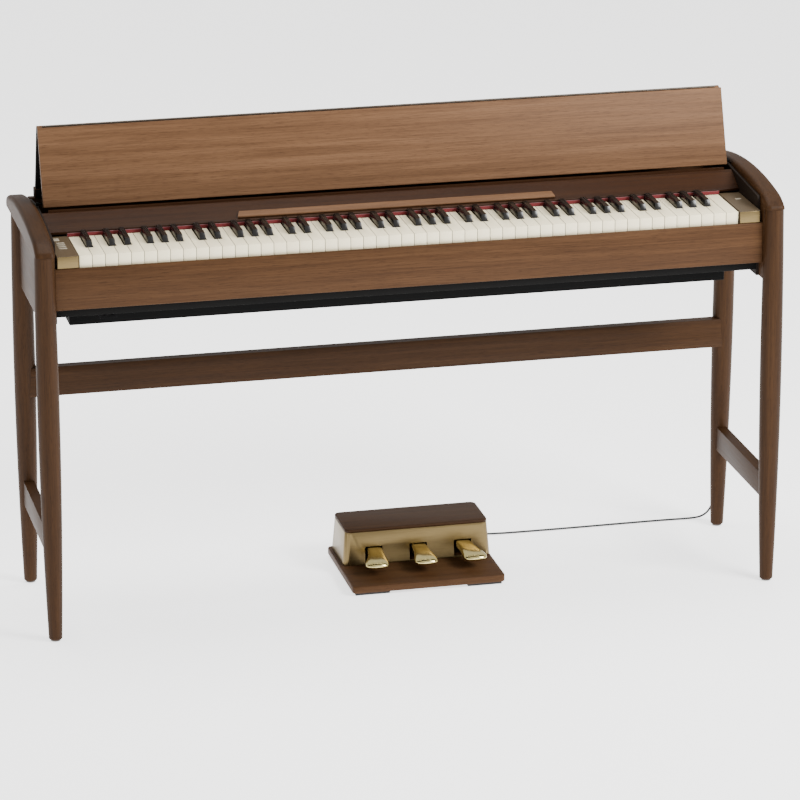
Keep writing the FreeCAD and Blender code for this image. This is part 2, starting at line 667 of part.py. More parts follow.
# Key frame: a floor plate with a stop rail in front, a back wall and lugs that hold the pivot rod.
FRAME_LONG = "2*block_in_x - 4"
FRAME_LEFT = "-block_in_x + 2"
FRAME_TOP = "rail_bottom_z + 6"
frame_parts = [
    box("frame_floor", (FRAME_LONG, "150", "6"), (FRAME_LEFT, "-60", "rail_bottom_z")),
    box("frame_back", (FRAME_LONG, "6", "deck_z - deck_thick - 1 - (%s)" % FRAME_TOP),
        (FRAME_LEFT, "pivot_y + 14", FRAME_TOP)),
    box("frame_stop", (FRAME_LONG, "30", "30"), (FRAME_LEFT, "-60", FRAME_TOP)),
    rod("pivot_rod", "pivot_radius", "2*block_in_x - 8", ("-block_in_x + 4", "pivot_y", "pivot_z"),
        "x"),
    box("pivot_lug_left", ("2", "18", "78"), ("-block_in_x + 2", "pivot_y - 4", FRAME_TOP)),
    box("pivot_lug_right", ("2", "18", "78"), ("block_in_x - 4", "pivot_y - 4", FRAME_TOP)),
]
node(group("frame_set", frame_parts), "key_frame")

# ---------------------------------------------------------------- sound

TRAY_DEEP = "back_y - back_thick + tray_front_y - 1"
TRAY_TALL = "rail_bottom_z - bed_thick - tray_bottom_z"
tray = box("tray_outer", ("2*tray_x", TRAY_DEEP, TRAY_TALL),
           ("-tray_x", "-tray_front_y", "tray_bottom_z"))
tray_room = box("tray_room",
                ("2*(tray_x - tray_wall)", TRAY_DEEP + " - 2*tray_wall", TRAY_TALL),
                ("-tray_x + tray_wall", "-tray_front_y + tray_wall", "tray_bottom_z + tray_wall"))
DRIVER_PLACES = (-400, 400)
GRILLE_SLOTS = 9
slots = [box("slot_%d_%d" % (side, index), ("120", "4", "tray_wall + 4"),
             ("%d" % (x - 60), "%d" % (6 + 9 * index), "tray_bottom_z - 2"))
         for side, x in enumerate(DRIVER_PLACES) for index in range(GRILLE_SLOTS)]
node(cut("tray", tray, fuse("tray_hollows", [tray_room] + slots)), "speaker_case")

drivers = []
for index, x in enumerate(DRIVER_PLACES):
    cone = doc.addObject("Part::Cone", "driver_cone_%d" % index)
    cone.Radius1 = 55
    cone.Radius2 = 24
    cone.Height = 22
    place(cone, ("%d" % x, "44", "tray_bottom_z + tray_wall"))
    magnet = rod("driver_magnet_%d" % index, "30", "12",
                 ("%d" % x, "44", "tray_bottom_z + tray_wall + 21"))
    drivers.append(fuse("driver_%d" % index, [cone, magnet]))
node(group("driver_pair", drivers), "speaker_drivers")

board = box("sound_board_sheet", ("320", "48", "1.6"), ("-520", "92", "rail_bottom_z + 6"))
chips = [box("chip_%d" % index, ("24", "24", "3"),
             ("%d" % (-500 + 70 * index), "102", "rail_bottom_z + 7.6"))
         for index in range(4)]
posts = [box("board_post_%d" % index, ("6", "6", "6"), (x, y, "rail_bottom_z"))
         for index, (x, y) in enumerate([("-518", "94"), ("-208", "94"),
                                         ("-518", "132"), ("-208", "132")])]
circuit = fuse("sound_board_parts", [board] + chips + posts)
node(group("sound_board_set", [circuit, socket_panel]), "sound_board_and_sockets")

jack_case = box("jack_case", ("30", "46", "20"),
                ("-568", "-tray_front_y - 48", "rail_bottom_z - bed_thick - 20"))
jack_bores = [rod("headphone_bore_%d" % index, "3.2", "20",
                  ("%d" % (-560 + 14 * index), "-tray_front_y - 50",
                   "rail_bottom_z - bed_thick - 10"), "y")
              for index in range(2)]
node(cut("jack_box", jack_case, fuse("headphone_bores", jack_bores)), "headphone_jack_box")

# ---------------------------------------------------------------- pedal unit

BASE_TOP = "foot_tall + base_thick"
HOOD_DEEP = "hood_back_y - hood_front_y"


def corner_block(name, size, at, corner, taper=None):
    """A block centred on a point, its upright corners rounded and its sides tapering in."""
    long_text, deep_text, tall = size
    half_long = "(%s)/2" % long_text
    half_deep = "(%s)/2" % deep_text
    corners = [("-" + half_long, "-" + half_deep), (half_long, "-" + half_deep),
               (half_long, half_deep), ("-" + half_long, half_deep)]
    body = doc.addObject("PartDesign::Body", name)
    sketch = outline(body, "XY_Plane", corners)
    pad = body.newObject("PartDesign::Pad", name + "_pad")
    pad.Profile = sketch
    pad.setExpression("Length", bound(tall))
    if taper:
        pad.setExpression("TaperAngle", bound(taper))
    doc.recompute()
    upright = ["Edge%d" % index for index, edge in enumerate(pad.Shape.Edges, start=1)
               if edge.BoundBox.ZLength > number(tall) / 2]
    rounded = body.newObject("PartDesign::Fillet", name + "_rounded")
    rounded.Base = (pad, upright)
    rounded.setExpression("Radius", bound(corner))
    body.Tip = rounded
    return place(body, at)


node(corner_block("base_body", ("base_long", "base_back_y + base_front_y", "base_thick"),
                  ("pedal_x", "(base_back_y - base_front_y)/2", "foot_tall"), "9"), "pedal_base")
strips = [box("base_strip_%d_%d" % (index, row), ("66", "14", "foot_tall"),
              ("pedal_x %s" % x, y, "0"))
          for index, x in enumerate(("- base_long/2 + 6", "+ base_long/2 - 72"))
          for row, y in enumerate(("-base_front_y + 5", "base_back_y - 22"))]
node(group("base_strips", strips), "pedal_feet")

HOOD_TALL = "hood_top_z - foot_tall - base_thick"
HOOD_TAPER = "-atan(hood_taper/(%s))" % HOOD_TALL
HOOD_MIDDLE = "(hood_front_y + hood_back_y)/2"
HOOD_PLACE = ("hood_x", HOOD_MIDDLE, BASE_TOP)
hood_outer = corner_block("hood_outer", ("hood_long", HOOD_DEEP, HOOD_TALL), HOOD_PLACE,
                          "hood_corner", HOOD_TAPER)
hood_inner = corner_block("hood_inner", ("hood_long - 2*hood_wall", HOOD_DEEP + " - 2*hood_wall",
                                         HOOD_TALL),
                          HOOD_PLACE, "hood_corner - hood_wall", HOOD_TAPER)
PEDALS = [("soft_pedal", -1), ("sostenuto_pedal", 0), ("damper_pedal", 1)]
mouths = [box("mouth_of_" + label, ("34", "30", "32"),
              ("pedal_mid_x + %d*pedal_pitch - 17" % order, "hood_front_y - 12", "22"))
          for label, order in PEDALS]
cord_hole = rod("cord_hole", "5", "30", ("cord_exit_x", "hood_back_y - 15", "cord_exit_z"), "y")
node(cut("hood", hood_outer, fuse("hood_hollows", [hood_inner, cord_hole] + mouths)),
     "pedal_housing")
node(corner_block("hood_cap", ("hood_long - 2*hood_taper", HOOD_DEEP + " - 2*hood_taper",
                               "hood_cap"),
                  ("hood_x", HOOD_MIDDLE, "hood_top_z"), "hood_corner - 1"), "pedal_unit_top")


def pedal(name, order):
    """A brass lever: flat and narrow at the housing, with a deep round toe."""
    skew = 9 * order
    points = [(-14, 0), (-14, -78), (-17 + skew * 0.6, -122), (-18 + skew * 0.85, -138),
              (18 + skew * 0.85, -138), (17 + skew * 0.6, -122), (14, -78), (14, 0)]
    middle = "pedal_mid_x + %d*pedal_pitch" % order
    body = doc.addObject("PartDesign::Body", name)
    sketch = outline(body, "XY_Plane", [("%g" % x, "%g" % y) for x, y in points])
    pad = body.newObject("PartDesign::Pad", name + "_pad")
    pad.Profile = sketch
    pad.Length = 9
    place(body, (middle, "pedal_axis_y", "pedal_axis_z - 8"))
    toe = rod(name + "_toe", "22", "14",
              (middle + " + %g" % (skew * 0.9), "pedal_axis_y - 139", "pedal_axis_z - 12.6"))
    softened = doc.addObject("Part::Fillet", name + "_toe_soft")
    softened.Base = toe
    softened.Edges = [(1, 5, 5), (3, 4, 4)]
    return [body, softened]


for label, order in PEDALS:
    lever = pedal(label + "_lever", order)
    middle = "pedal_mid_x + %d*pedal_pitch" % order
    boss = rod(label + "_boss", "7", "20", (middle + " - 10", "pedal_axis_y", "pedal_axis_z"), "x")
    bore = rod(label + "_bore", "3.2", "30", (middle + " - 15", "pedal_axis_y", "pedal_axis_z"), "x")
    node(cut(label + "_drilled", fuse(label + "_solid", lever + [boss]), bore), label)

shaft = rod("shaft_rod", "3", "232", ("pedal_mid_x - 116", "pedal_axis_y", "pedal_axis_z"), "x")
stands = [box("shaft_stand_%d" % index, ("4", "24", "36"),
              ("pedal_mid_x %s" % x, "pedal_axis_y - 12", BASE_TOP))
          for index, x in enumerate(("- 114", "- 46", "+ 42", "+ 110"))]
node(fuse("shaft_parts", [shaft] + stands), "pedal_shaft")

# ---------------------------------------------------------------- pedal cord

# Free cord from the back of the pedal housing, down to the floor, along it behind the
# stand, up the back of the right rear leg in two clips and into the back panel. Chosen by hand.
CORD_ROUTE = [
    (139, 166, 33), (139, 174.5, 32.5), (144, 183.5, 30), (153, 188.8, 25), (168, 190, 17),
    (187, 189.5, 9), (214, 188.8, 3.4), (256, 188, 2), (311, 187.4, 2), (367, 187, 2),
    (425, 187.3, 2), (483, 187.8, 2), (541, 188.2, 2), (592, 187.8, 2), (626, 186, 2),
    (649, 182.2, 4), (662, 177.6, 11), (670, 172.6, 23), (674.4, 168.4, 38),
    (676, 165.4, 58), (676.2, 164, 84), (676.1, 163.2, 130), (676, 162.7, 186),
    (676, 161.9, 242), (676, 160.9, 298),
    (676, 159.6, 354), (676, 158, 410), (676, 156.8, 462), (675.6, 158.4, 506),
    (674, 163, 546), (669, 170, 582), (658, 178, 612), (640, 184.6, 637), (618, 188.4, 655),
    (600, 189.4, 662), (588.6, 186.2, 663.6), (581.6, 177.6, 664), (580, 168, 664),
]


def cord_path(points, share=0.45):
    """Straight runs joined by tangent arcs as large as the runs allow."""
    points = [Vector(*point) for point in points]
    edges = []
    radii = []
    last = points[0]
    for before, corner, after in zip(points, points[1:], points[2:]):
        inward = (before - corner).normalize()
        outward = (after - corner).normalize()
        turn = math.pi - inward.getAngle(outward)
        reach = share * min((before - corner).Length, (after - corner).Length)
        radius = reach / math.tan(turn / 2)
        radii.append(radius)
        start = corner + inward * reach
        end = corner + outward * reach
        bisector = (inward + outward).normalize()
        centre = corner + bisector * (radius / math.cos(turn / 2))
        middle = centre - bisector * radius
        edges.append(Part.LineSegment(last, start).toShape())
        edges.append(Part.Arc(start, middle, end).toShape())
        last = end
    edges.append(Part.LineSegment(last, points[-1]).toShape())
    return Part.Wire(edges), radii


def cord_tube(points, radius):
    path, radii = cord_path(points)
    start = path.Vertexes[0].Point
    along = path.Edges[0].tangentAt(path.Edges[0].FirstParameter)
    ring = Part.Wire(Part.makeCircle(radius, start, along))
    tube = path.makePipeShell([ring], True, False)
    print("cord length %.0f, ideal volume %.0f, volume %.0f" % (
        path.Length, path.Length * math.pi * radius ** 2, tube.Volume))
    print("cord radii", [round(value) for value in radii])
    return tube


cord = doc.addObject("Part::Feature", "cord_tube")
cord.Shape = cord_tube(CORD_ROUTE, number("cord_radius"))
node(cord, "pedal_cord")

relief = doc.addObject("Part::Cone", "relief_cone")
relief.Radius1 = 4.5
relief.setExpression("Radius2", bound("cord_radius + 0.6"))
relief.setExpression("Height", bound("relief_end_y - hood_back_y + hood_wall"))
place(relief, ("cord_exit_x", "hood_back_y - hood_wall", "cord_exit_z"), ("x", "-90"))
node(relief, "cord_strain_relief")

PLUG_LONG = "back_thick + plug_end_y - back_y - 5"
node(rod("plug_body", "5", PLUG_LONG, ("plug_x", "plug_end_y - (%s)" % PLUG_LONG, "plug_z"), "y"),
     "cord_plug")

CLIP_HEIGHTS = (130, 354)


def clip(index, height):
    """A saddle clip on the back of the right rear leg, open towards the back."""
    back = rear_leg_back(height)
    low = "%g" % (height - 4)
    saddle = box("clip_saddle_%d" % index, ("14", "13", "8"), ("leg_x - 7", "%g" % (back - 2.5), low))
    channel = box("clip_channel_%d" % index, ("5", "12", "8"),
                  ("leg_x - 2.5", "%g" % (back + 4.2), low))
    blank = cut("clip_blank_%d" % index, saddle, channel)
    return cut("clip_%d" % index, blank, legs["rear", "right"])


clips = [clip(index, height) for index, height in enumerate(CLIP_HEIGHTS)]
node(group("clip_set", clips), "cord_clips")

# ---------------------------------------------------------------- fasteners

BOLT_DROPS = (14, 42)
bolts = []
for side, sign in SIDES:
    for index, drop in enumerate(BOLT_DROPS):
        height = number("stretch_top_z") - drop
        bolts.append(rod("bolt_%s_%d" % (side, index), "6", "2.5",
                         (sign + "leg_x", "%g" % (rear_leg_back(height) + 0.3), "%g" % height),
                         "y"))
for index in range(6):
    bolts.append(rod("back_screw_%d" % index, "4", "1.5",
                     ("%d" % (-600 + 240 * index), "back_y", "725"), "y"))
for index in range(5):
    bolts.append(rod("tray_screw_%d" % index, "4", "1.5",
                     ("%d" % (-560 + 280 * index), "-30", "tray_bottom_z - 1.5")))
node(group("bolt_set", bolts), "bolts_and_screws")

# ---------------------------------------------------------------- check and export

doc.recompute()
for item in doc.Objects:
    if "Invalid" in item.State or "Error" in item.State:
        raise RuntimeError("%s failed: %s" % (item.Name, item.State))
os.makedirs("parts", exist_ok=True)
for piece, label in nodes:
    shape = piece.Shape
    if shape.isNull() or not shape.isValid():
        raise RuntimeError("%s has a bad shape" % label)
    shape.exportStep("parts/%s.step" % label)
print(len(nodes), "nodes")
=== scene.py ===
import json
import math

import bmesh
import bpy
from mathutils import Matrix, Vector

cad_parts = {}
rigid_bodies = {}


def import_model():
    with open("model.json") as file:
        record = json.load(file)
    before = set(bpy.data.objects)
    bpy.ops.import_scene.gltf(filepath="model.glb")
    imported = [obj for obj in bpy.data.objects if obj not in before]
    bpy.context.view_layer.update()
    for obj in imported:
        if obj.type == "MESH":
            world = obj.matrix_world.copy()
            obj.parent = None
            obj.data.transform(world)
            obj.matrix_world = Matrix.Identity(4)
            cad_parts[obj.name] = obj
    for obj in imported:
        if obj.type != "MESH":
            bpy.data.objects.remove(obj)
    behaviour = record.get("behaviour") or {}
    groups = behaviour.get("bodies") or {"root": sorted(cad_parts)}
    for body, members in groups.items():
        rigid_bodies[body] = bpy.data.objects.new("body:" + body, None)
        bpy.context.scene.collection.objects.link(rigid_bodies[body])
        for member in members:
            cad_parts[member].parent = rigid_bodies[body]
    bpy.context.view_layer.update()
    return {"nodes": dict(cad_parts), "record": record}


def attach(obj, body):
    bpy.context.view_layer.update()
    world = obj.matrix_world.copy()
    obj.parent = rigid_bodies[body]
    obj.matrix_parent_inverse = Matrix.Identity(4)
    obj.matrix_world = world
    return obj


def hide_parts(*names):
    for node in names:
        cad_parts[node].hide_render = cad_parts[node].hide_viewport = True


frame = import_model()
NODES = frame["nodes"]
BODY_OF = {node: body for body, members in frame["record"]["behaviour"]["bodies"].items()
           for node in members}
NOTES = ["c", "c_sharp", "d", "d_sharp", "e", "f", "f_sharp", "g", "g_sharp", "a", "a_sharp", "b"]
NATURALS = ["keys_" + note for note in NOTES if not note.endswith("sharp")]
SHARPS = ["keys_" + note for note in NOTES if note.endswith("sharp")]
MM = 0.001


def add_object(name, data):
    """A new object in the scene that holds this camera, curve, mesh or light."""
    item = bpy.data.objects.new(name, data)
    bpy.context.scene.collection.objects.link(item)
    return item


# ---------------------------------------------------------------- camera

# The place is in metres, the turns in radians, the lens and its sensor in millimetres.
CAMERA_PLACE = Vector((-1.67555, -7.38803, 2.80237))
CAMERA_YAW = 0.2241415
CAMERA_PITCH = 0.3127231
CAMERA_ROLL = -0.0048544
CAMERA_LENS = 191.91
SENSOR_WIDTH = 36
VIEW_END = 50


def add_camera():
    ahead = Vector((math.sin(CAMERA_YAW) * math.cos(CAMERA_PITCH),
                    math.cos(CAMERA_YAW) * math.cos(CAMERA_PITCH), -math.sin(CAMERA_PITCH)))
    level = Vector((math.cos(CAMERA_YAW), -math.sin(CAMERA_YAW), 0))
    above = level.cross(ahead)
    right = level * math.cos(CAMERA_ROLL) + above * math.sin(CAMERA_ROLL)
    up = above * math.cos(CAMERA_ROLL) - level * math.sin(CAMERA_ROLL)
    data = bpy.data.cameras.new("camera")
    data.lens = CAMERA_LENS
    data.sensor_width = SENSOR_WIDTH
    data.clip_end = VIEW_END
    camera = add_object("camera", data)
    turn = Matrix((right, up, -ahead)).transposed()
    camera.matrix_world = Matrix.Translation(CAMERA_PLACE) @ turn.to_4x4()
    bpy.context.scene.camera = camera


add_camera()

# ---------------------------------------------------------------- materials

# Where a Mix node keeps the sockets that it uses for colours.
MIX_FIRST, MIX_SECOND, MIX_RESULT = 6, 7, 2


class MaterialTree:
    """Short calls that build a material's node tree."""

    def __init__(self, name):
        self.material = bpy.data.materials.new(name)
        self.material.use_nodes = True
        self.tree = self.material.node_tree
        self.shader = self.tree.nodes["Principled BSDF"]
        self.place = self.add("ShaderNodeTexCoord").outputs["Object"]

    def add(self, kind, **settings):
        item = self.tree.nodes.new(kind)
        for field, value in settings.items():
            setattr(item, field, value)
        return item

    def link(self, source, target):
        self.tree.links.new(source, target)

    def set(self, socket, value):
        """Links a socket to another one, or gives it a colour or a number."""
        if isinstance(value, bpy.types.NodeSocket):
            self.link(value, socket)
        elif isinstance(value, tuple):
            socket.default_value = (*value, 1)
        else:
            socket.default_value = value

    def stretched(self, scale, source=None):
        """The place on the object, or another vector, scaled along each axis."""
        mapping = self.add("ShaderNodeMapping")
        mapping.inputs["Scale"].default_value = scale
        self.link(source or self.place, mapping.inputs["Vector"])
        return mapping.outputs["Vector"]

    def noise(self, vector, scale=1.0, detail=2.0, roughness=0.5, distortion=0.0):
        item = self.add("ShaderNodeTexNoise")
        self.link(vector, item.inputs["Vector"])
        item.inputs["Scale"].default_value = scale
        item.inputs["Detail"].default_value = detail
        item.inputs["Roughness"].default_value = roughness
        item.inputs["Distortion"].default_value = distortion
        return item.outputs["Fac"]

    def ramp(self, source, stops):
        """Colours along a value, from stops of a position and a colour."""
        item = self.add("ShaderNodeValToRGB")
        elements = item.color_ramp.elements
        while len(elements) < len(stops):
            elements.new(0.5)
        for element, (position, colour) in zip(elements, stops):
            element.position = position
            element.color = (*colour, 1)
        self.link(source, item.inputs["Fac"])
        return item.outputs["Color"]

    def mix(self, kind, factor, first, second):
        item = self.add("ShaderNodeMix", data_type="RGBA", blend_type=kind)
        self.set(item.inputs["Factor"], factor)
        self.set(item.inputs[MIX_FIRST], first)
        self.set(item.inputs[MIX_SECOND], second)
        return item.outputs[MIX_RESULT]

    def total(self, first, second):
        item = self.add("ShaderNodeMath", operation="ADD")
        self.link(first, item.inputs[0])
        self.link(second, item.inputs[1])
        return item.outputs[0]

    def span(self, source, low, high):
        """A value from 0 to 1, spread from low to high."""
        item = self.add("ShaderNodeMapRange")
        self.link(source, item.inputs["Value"])
        item.inputs["To Min"].default_value = low
        item.inputs["To Max"].default_value = high
        return item.outputs["Result"]

    def bump(self, height, strength, distance):
        item = self.add("ShaderNodeBump")
        item.inputs["Strength"].default_value = strength
        item.inputs["Distance"].default_value = distance
        self.link(height, item.inputs["Height"])
        self.link(item.outputs["Normal"], self.shader.inputs["Normal"])

    def finish(self, colour, roughness, metallic=0.0, coat=0.0, coat_roughness=0.1, specular=0.5):
        self.set(self.shader.inputs["Base Color"], colour)
        self.set(self.shader.inputs["Roughness"], roughness)
        self.shader.inputs["Metallic"].default_value = metallic
        self.shader.inputs["Coat Weight"].default_value = coat
        self.shader.inputs["Coat Roughness"].default_value = coat_roughness
        self.shader.inputs["Specular IOR Level"].default_value = specular
        return self.material


def same(value):
    """One value for all three axes or colour channels."""
    return (value,) * 3


def across(axis, along, crosswise):
    """A scale with one value along the grain's axis and another across it."""
    return tuple(along if index == axis else crosswise for index in range(3))


def walnut(name, axis, dark, middle, light, seed):
    """Oiled walnut veneer: broad figure, fine straight grain and short open pores."""
    tree = MaterialTree(name)
    shift = tree.add("ShaderNodeVectorMath", operation="ADD")
    tree.link(tree.place, shift.inputs[0])
    shift.inputs[1].default_value = (seed, seed * 0.7, seed * 1.3)
    place = shift.outputs[0]
    figure = tree.noise(tree.stretched(across(axis, 1.8, 62), place), detail=3, roughness=0.55,
                        distortion=0.5)
    colour = tree.ramp(figure, [(0.26, dark), (0.50, middle), (0.76, light)])
    grain = tree.noise(tree.stretched(across(axis, 9, 420), place), detail=3, roughness=0.6)
    lines = tree.ramp(grain, [(0.34, (0.70, 0.68, 0.66)), (0.60, same(1.0))])
    colour = tree.mix("MULTIPLY", 0.75, colour, lines)
    pores = tree.noise(tree.stretched(across(axis, 55, 1500), place), detail=1)
    specks = tree.ramp(pores, [(0.33, (0.45, 0.42, 0.40)), (0.42, same(1.0))])
    colour = tree.mix("MULTIPLY", 0.55, colour, specks)
    tree.bump(tree.total(grain, pores), 0.22, 0.0004)
    return tree.finish(colour, tree.span(grain, 0.42, 0.58), specular=0.1)


def plastic(name, base, speck, roughness, grain=2600, bump=0.10, mixed=0.5, specular=0.5):
    """Moulded plastic or paint with a fine grain and a slow drift of tone."""
    tree = MaterialTree(name)
    fine = tree.noise(tree.stretched(same(grain)), detail=1)
    slow = tree.noise(tree.stretched(same(14)))
    colour = tree.mix("MIX", tree.span(fine, 0.0, mixed), base, speck)
    drift = tree.ramp(slow, [(0.3, same(0.86)), (0.7, same(1.0))])
    colour = tree.mix("MULTIPLY", 0.25, colour, drift)
    tree.bump(fine, bump, 0.0002)
    return tree.finish(colour, tree.span(slow, roughness - 0.05, roughness + 0.07),
                       specular=specular)


def metal(name, base, other, roughness, axis=0, brushed=900, along=12, bump=0.05):
    """Metal with fine brushing along one axis."""
    tree = MaterialTree(name)
    streaks = tree.noise(tree.stretched(across(axis, along, brushed)))
    slow = tree.noise(tree.stretched(same(18)))
    colour = tree.mix("MIX", streaks, base, other)
    tree.bump(streaks, bump, 0.0001)
    return tree.finish(colour, tree.span(slow, roughness - 0.04, roughness + 0.08), metallic=1.0)


def felt(name, base, other):
    """Short matted fibres with a soft sheen."""
    tree = MaterialTree(name)
    fibres = tree.noise(tree.stretched(same(900)), detail=4, roughness=0.7, distortion=0.8)
    tree.bump(fibres, 0.5, 0.0006)
    tree.shader.inputs["Sheen Weight"].default_value = 0.5
    tree.shader.inputs["Sheen Roughness"].default_value = 0.5
    return tree.finish(tree.mix("MIX", fibres, base, other), 0.95)


def key_top(name):
    """Ivory-like key tops: faint long streaks, a soft satin surface."""
    tree = MaterialTree(name)
    streaks = tree.noise(tree.stretched((700, 40, 260)), detail=3, roughness=0.6, distortion=0.3)
    slow = tree.noise(tree.stretched((22, 9, 20)))
    colour = tree.mix("MIX", streaks, (0.93, 0.81, 0.53), (1.0, 0.91, 0.66))
    drift = tree.ramp(slow, [(0.3, (0.95, 0.93, 0.90)), (0.7, same(1.0))])
    colour = tree.mix("MULTIPLY", 0.4, colour, drift)
    tree.bump(streaks, 0.06, 0.0002)
    return tree.finish(colour, tree.span(streaks, 0.30, 0.42), coat=0.15, coat_roughness=0.25)


def black_top(name):
    """Ebony-like black keys: lengthwise grain, satin."""
    tree = MaterialTree(name)
    grain = tree.noise(tree.stretched((800, 30, 800)), detail=3, roughness=0.6)
    colour = tree.mix("MIX", grain, (0.0035, 0.0033, 0.0032), (0.010, 0.0095, 0.009))
    tree.bump(grain, 0.12, 0.0002)
    return tree.finish(colour, tree.span(grain, 0.20, 0.32), specular=0.45)


def cone_paper(name):
    """Pressed paper pulp."""
    tree = MaterialTree(name)
    pulp = tree.noise(tree.stretched(same(500)), detail=4, roughness=0.7)
    tree.bump(pulp, 0.3, 0.0004)
    return tree.finish(tree.mix("MIX", pulp, same(0.015), same(0.05)), 0.85)


def circuit(name):
    """A solder-masked board with light tracks between darker fields."""
    tree = MaterialTree(name)
    cells = tree.add("ShaderNodeTexVoronoi", feature="DISTANCE_TO_EDGE")
    tree.link(tree.stretched(same(160)), cells.inputs["Vector"])
    distance = cells.outputs["Distance"]
    tracks = tree.ramp(distance, [(0.04, (0.20, 0.42, 0.16)), (0.09, (0.02, 0.14, 0.05))])
    return tree.finish(tracks, tree.span(distance, 0.25, 0.5))


LIGHT_WALNUT = ((0.108, 0.053, 0.025), (0.138, 0.070, 0.034), (0.175, 0.092, 0.047))
CASE_WALNUT = ((0.050, 0.022, 0.0085), (0.066, 0.030, 0.0118), (0.086, 0.041, 0.017))
DARK_WALNUT = ((0.028, 0.0118, 0.0039), (0.038, 0.0163, 0.0055), (0.052, 0.0235, 0.0086))
DEEP_WALNUT = ((0.020, 0.0072, 0.0022), (0.029, 0.0105, 0.0033), (0.040, 0.016, 0.0055))
# A walnut whose name ends in _x, _y or _z has its grain along that axis.
MATERIALS = {
    "lid": walnut("walnut_lid", 0, *LIGHT_WALNUT, seed=1.1),
    "case_x": walnut("walnut_case", 0, *CASE_WALNUT, seed=2.3),
    "dark_x": walnut("walnut_dark_long", 0, *DARK_WALNUT, seed=3.7),
    "dark_y": walnut("walnut_dark_deep", 1, *DARK_WALNUT, seed=5.2),
    "dark_z": walnut("walnut_dark_tall", 2, *DARK_WALNUT, seed=6.9),
    "deep_x": walnut("walnut_deep_long", 0, *DEEP_WALNUT, seed=8.3),
    # Black boards; the same black on the lid's inner face and the rear boards' ends is painted
    # shade.
    "black_board": plastic("black_board", (0.003, 0.003, 0.003), (0.009, 0.008, 0.007), 0.6,
                           grain=700, bump=0.2, specular=0.08),
    "liner": plastic("brown_liner", (0.010, 0.006, 0.004), (0.020, 0.013, 0.009), 0.6,
                     grain=700, bump=0.2, specular=0.1),
    "felt": felt("grey_felt", (0.05, 0.045, 0.04), (0.13, 0.12, 0.11)),
    "red_felt": felt("red_felt", (0.075, 0.002, 0.004), (0.19, 0.005, 0.011)),
    "dark_metal": metal("dark_hinge", (0.05, 0.04, 0.032), (0.10, 0.085, 0.07), 0.38),
    "black_plastic": plastic("black_plastic", same(0.0025), same(0.007), 0.5, specular=0.04),
    "bronze": plastic("bronze_plastic", (0.022, 0.014, 0.007), (0.15, 0.105, 0.055), 0.38,
                      grain=1500, bump=0.08, mixed=0.8, specular=0.35),
    "button": plastic("button_plastic", (0.27, 0.23, 0.165), (0.37, 0.32, 0.24), 0.35,
                      grain=3000, bump=0.05),
    "ivory": key_top("ivory_keys"),
    # Brown for the white keys' sides and front edges: painted shade in the gaps between keys and a
    # painted shadow line under the front of the key tops.
    "painted_key_shade": plastic("painted_key_shades", (0.060, 0.040, 0.022), (0.095, 0.066, 0.040), 0.6,
                        grain=900, specular=0.1),
    "ebony": black_top("ebony_keys"),
    "steel": metal("zinc_steel", (0.42, 0.43, 0.45), (0.60, 0.61, 0.62), 0.35),
    "paper": cone_paper("speaker_paper"),
    "circuit": circuit("circuit_board"),
    "rubber": plastic("rubber", same(0.008), same(0.022), 0.75, grain=1800, bump=0.2),
    "champagne": metal("champagne_metal", (0.135, 0.096, 0.042), (0.205, 0.150, 0.070), 0.33,
                       brushed=1400, along=30, bump=0.03),
    "brass": metal("polished_brass", (0.60, 0.49, 0.19), (0.78, 0.67, 0.32), 0.13,
                   axis=1, brushed=500, along=20, bump=0.02),
    "cord": plastic("cord_sheath", same(0.006), same(0.018), 0.45, grain=1600),
    "bolt": metal("black_bolt", (0.05, 0.048, 0.045), (0.11, 0.105, 0.10), 0.40),
}
NODES_IN = {
    "dark_z": ["left_front_leg", "right_front_leg", "left_rear_leg", "right_rear_leg"],
    "dark_y": ["left_arm", "right_arm", "side_panels", "low_side_stretchers"],
    "dark_x": ["rear_stretcher", "back_panel", "rear_top_board", "pedal_unit_top"],
    "deep_x": ["fallboard", "lid_rest_strip"],
    "case_x": ["front_rail", "pedal_base"],
    # The music ledge takes this lighter walnut as painted light, for its top that faces up and
    # forwards.
    "lid": ["lid_rear_panel", "lid_front_panel", "music_ledge"],
    "black_board": ["key_bed", "inner_deck"],
    "liner": ["side_liners"],
    "felt": ["foot_glides"],
    "red_felt": ["felt_strip"],
    "dark_metal": ["rear_hinge", "fold_hinge"],
    "black_plastic": ["lid_guide_rollers", "speaker_case", "headphone_jack_box", "cord_plug",
                      "cord_clips"],
    "bronze": ["left_key_block", "right_key_block"],
    "button": ["volume_button", "function_buttons", "power_button"],
    "ivory": NATURALS,
    "ebony": SHARPS,
    "steel": ["key_frame", "pedal_shaft"],
    "paper": ["speaker_drivers"],
    "circuit": ["sound_board_and_sockets"],
    "rubber": ["pedal_feet"],
    "champagne": ["pedal_housing"],
    "brass": ["soft_pedal", "sostenuto_pedal", "damper_pedal"],
    "cord": ["pedal_cord", "cord_strain_relief"],
    "bolt": ["bolts_and_screws"],
}
FINISH = {node: finish for finish, nodes in NODES_IN.items() for node in nodes}

for node, finish in FINISH.items():
    slots = NODES[node].data.materials
    slots.clear()
    slots.append(MATERIALS[finish])

# ---------------------------------------------------------------- pedal cord

